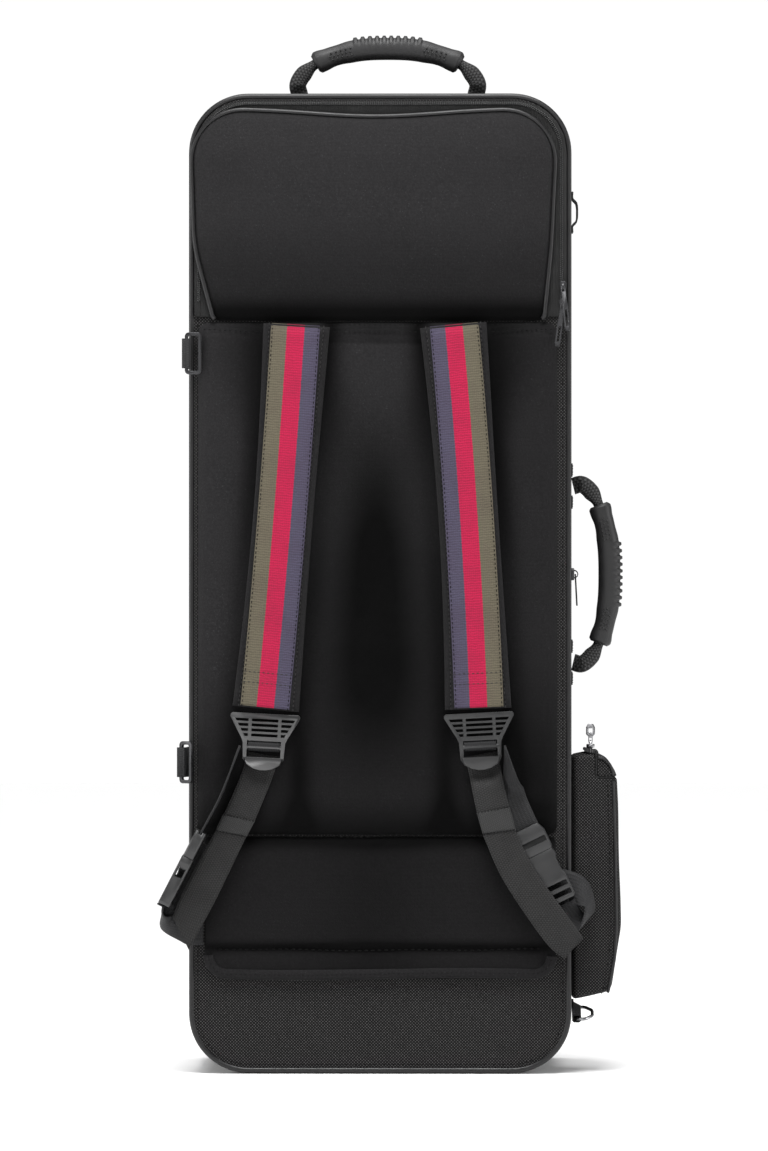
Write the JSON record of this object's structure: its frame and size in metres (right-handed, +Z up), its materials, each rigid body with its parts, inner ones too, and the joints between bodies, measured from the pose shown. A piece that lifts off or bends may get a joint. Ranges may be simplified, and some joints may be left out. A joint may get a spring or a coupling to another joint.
{
  "type": "tenor saxophone case",
  "caption": "Soft-sided upright tenor saxophone case with a zipped lid, shaped foam bed, back pocket, padded shoulder straps with buckles, two carrying handles and a side pouch.",
  "frame": {"origin": "a point on the flat bottom of the base, on the middle plane across its width", "axes": "+Z up along the case's length, +X towards the carrying handle and pouch, -Y towards the shoulder straps, +Y towards the lid"},
  "size_m": [0.4073, 0.2655, 0.915],
  "materials": {
    "twill_nylon": "woven, dull",
    "neoprene": "soft knit face",
    "webbing": "ribbed weave",
    "striped_webbing": "woven in olive, crimson and blue-violet bands",
    "zip_tape": "fine weave with coil",
    "piping": "smooth, semi-gloss",
    "plush": "short pile",
    "buckle_plastic": "moulded, satin",
    "grip_rubber": "moulded, satin",
    "black_metal": "satin enamel",
    "chrome_metal": "polished"
  },
  "bodies": {
    "base": {"base_shell": "twill_nylon", "base_piping": "piping", "base_zip_tape": "zip_tape", "base_hinge_tape": "zip_tape", "bed_foam": "plush", "pocket_zip_tape": "zip_tape", "back_pad": "neoprene", "lumbar_flap": "neoprene", "pouch_body": "twill_nylon", "upper_side_tab": "webbing", "lower_side_tab": "webbing", "d_ring_tab": "webbing", "right_side_loop": "webbing"},
    "lid": {"lid_shell": "twill_nylon", "lid_piping": "piping", "lid_zip_tape": "zip_tape", "lid_hinge_tape": "zip_tape", "lid_lining": "plush"},
    "main_zip_slider": {"main_slider": "black_metal"},
    "main_zip_pull": {"main_pull": "black_metal"},
    "accessory_box_lid": {"accessory_lid": "plush"},
    "hold_down_strap": {"body_strap": "webbing"},
    "flap": {"pocket_flap": "neoprene", "pocket_flap_piping": "piping"},
    "pocket_upper_zip_slider": {"pocket_upper_slider": "black_metal"},
    "pocket_upper_zip_pull": {"pocket_upper_pull": "black_metal"},
    "pocket_lower_zip_slider": {"pocket_lower_slider": "black_metal"},
    "pocket_lower_zip_pull": {"pocket_lower_pull": "black_metal"},
    "left_strap": {"left_strap_pad": "neoprene", "left_strap_webbing": "striped_webbing"},
    "left_lock": {"left_ladder_lock": "buckle_plastic", "left_adjuster_tail": "webbing"},
    "left_lower": {"left_anchor_tab": "webbing", "left_buckle_socket": "buckle_plastic", "left_lower_strand": "webbing"},
    "left_plug": {"left_buckle_plug": "buckle_plastic"},
    "right_strap": {"right_strap_pad": "neoprene", "right_strap_webbing": "striped_webbing"},
    "right_lock": {"right_ladder_lock": "buckle_plastic", "right_adjuster_tail": "webbing"},
    "right_lower": {"right_anchor_tab": "webbing", "right_buckle_socket": "buckle_plastic", "right_lower_strand": "webbing"},
    "right_plug": {"right_buckle_plug": "buckle_plastic"},
    "top_handle": {"top_handle_webbing": "webbing", "top_handle_grip": "grip_rubber"},
    "side_handle": {"side_handle_webbing": "webbing", "side_handle_grip": "grip_rubber"},
    "pouch_lid_flap": {"pouch_lid": "twill_nylon"},
    "pouch_zip_slider": {"pouch_slider": "chrome_metal"},
    "pouch_zip_pull": {"pouch_pull": "chrome_metal"},
    "upper_ring": {"upper_side_ring": "black_metal"},
    "lower_ring": {"lower_side_ring": "black_metal"},
    "hanging_d_ring": {"d_ring": "chrome_metal"}
  },
  "joints": [
    {"name": "lid_hinge", "type": "hinge", "parent": "base", "child": "lid", "pos_m": [-0.1685, 0.05, 0.43], "axis": [0, 0, 1], "range_deg": [0, 110]},
    {"name": "main_zip_slide", "type": "slide", "parent": "base", "child": "main_zip_slider", "axis": [0, 0, 1], "range_m": [-0.36, 0.34]},
    {"name": "main_pull_hinge", "type": "hinge", "parent": "main_zip_slider", "child": "main_zip_pull", "pos_m": [0.1727, 0.05, 0.4376], "axis": [0, -1, 0], "range_deg": [0, 100]},
    {"name": "accessory_lid_hinge", "type": "hinge", "parent": "base", "child": "accessory_box_lid", "pos_m": [-0.1495, 0.0505, 0.639], "axis": [0, 0, 1], "range_deg": [0, 80]},
    {"name": "body_strap_hinge", "type": "hinge", "parent": "base", "child": "hold_down_strap", "pos_m": [0.112, 0.049, 0.62], "axis": [0, 0, -1], "range_deg": [0, 60]},
    {"name": "pocket_flap_hinge", "type": "hinge", "parent": "base", "child": "flap", "pos_m": [0, -0.0625, 0.664], "axis": [1, 0, 0], "range_deg": [0, 75]},
    {"name": "pocket_upper_slide", "type": "slide", "parent": "base", "child": "pocket_upper_zip_slider", "axis": [0, 0, 1], "range_m": [0, 0.085]},
    {"name": "pocket_upper_pull_hinge", "type": "hinge", "parent": "pocket_upper_zip_slider", "child": "pocket_upper_zip_pull", "pos_m": [0.1603, -0.0675, 0.6896], "axis": [-1, 0, 0], "range_deg": [0, 100]},
    {"name": "pocket_lower_slide", "type": "slide", "parent": "base", "child": "pocket_lower_zip_slider", "axis": [0, 0, -1], "range_m": [0, 0.006]},
    {"name": "pocket_lower_pull_hinge", "type": "hinge", "parent": "pocket_lower_zip_slider", "child": "pocket_lower_zip_pull", "pos_m": [0.1603, -0.0675, 0.6746], "axis": [-1, 0, 0], "range_deg": [0, 16]},
    {"name": "left_strap_swing", "type": "hinge", "parent": "base", "child": "left_strap", "pos_m": [-0.0865, -0.0695, 0.657], "axis": [-1, 0, 0], "range_deg": [0, 6]},
    {"name": "left_lock_tilt", "type": "hinge", "parent": "left_strap", "child": "left_lock", "pos_m": [-0.1002, -0.077, 0.3158], "axis": [-1, 0, 0], "range_deg": [0, 25]},
    {"name": "left_lower_swing", "type": "hinge", "parent": "base", "child": "left_lower", "pos_m": [-0.158, -0.0615, 0.112], "axis": [1, 0, 0], "range_deg": [0, 18]},
    {"name": "left_plug_slide", "type": "slide", "parent": "left_lower", "child": "left_plug", "axis": [0.458, 0, 0.889], "range_m": [0, 0.015]},
    {"name": "right_strap_swing", "type": "hinge", "parent": "base", "child": "right_strap", "pos_m": [0.0751, -0.0695, 0.657], "axis": [-1, 0, 0], "range_deg": [0, 6]},
    {"name": "right_lock_tilt", "type": "hinge", "parent": "right_strap", "child": "right_lock", "pos_m": [0.0864, -0.077, 0.3166], "axis": [-1, 0, 0], "range_deg": [0, 25]},
    {"name": "right_lower_swing", "type": "hinge", "parent": "base", "child": "right_lower", "pos_m": [0.156, -0.06, 0.124], "axis": [1, 0, 0], "range_deg": [0, 19]},
    {"name": "right_plug_slide", "type": "slide", "parent": "right_lower", "child": "right_plug", "axis": [-0.4368, 0, 0.8996], "range_m": [0, 0.015]},
    {"name": "top_handle_swing", "type": "hinge", "parent": "base", "child": "top_handle", "pos_m": [0.006, 0, 0.8622], "axis": [1, 0, 0], "range_deg": [-60, 60]},
    {"name": "side_handle_swing", "type": "hinge", "parent": "base", "child": "side_handle", "pos_m": [0.1702, 0.008, 0.438], "axis": [0, 0, 1], "range_deg": [-50, 50]},
    {"name": "pouch_lid_hinge", "type": "hinge", "parent": "base", "child": "pouch_lid_flap", "pos_m": [0.2085, -0.0015, 0.2595], "axis": [0, 1, 0], "range_deg": [0, 95]},
    {"name": "pouch_zip_slide", "type": "slide", "parent": "base", "child": "pouch_zip_slider", "axis": [0, 1, 0], "range_m": [-0.03, 0.03]},
    {"name": "pouch_pull_hinge", "type": "hinge", "parent": "pouch_zip_slider", "child": "pouch_zip_pull", "pos_m": [0.1855, -0.0004, 0.2886], "axis": [1, 0, 0], "range_deg": [0, 85]},
    {"name": "upper_ring_swing", "type": "hinge", "parent": "base", "child": "upper_ring", "pos_m": [-0.1696, -0.0704, 0.6315], "axis": [0, 0, -1], "range_deg": [0, 90]},
    {"name": "lower_ring_swing", "type": "hinge", "parent": "base", "child": "lower_ring", "pos_m": [-0.1742, -0.0636, 0.273], "axis": [0, 0, -1], "range_deg": [0, 45]},
    {"name": "d_ring_swing", "type": "hinge", "parent": "base", "child": "hanging_d_ring", "pos_m": [0.1729, -0.01, 0.05], "axis": [0, 0.9511, 0.309], "range_deg": [0, 60]}
  ],
  "couplings": [
    {"joint": "left_lower_swing", "follows": "left_strap_swing", "ratio": 2.15},
    {"joint": "right_lower_swing", "follows": "right_strap_swing", "ratio": 2.31}
  ]
}
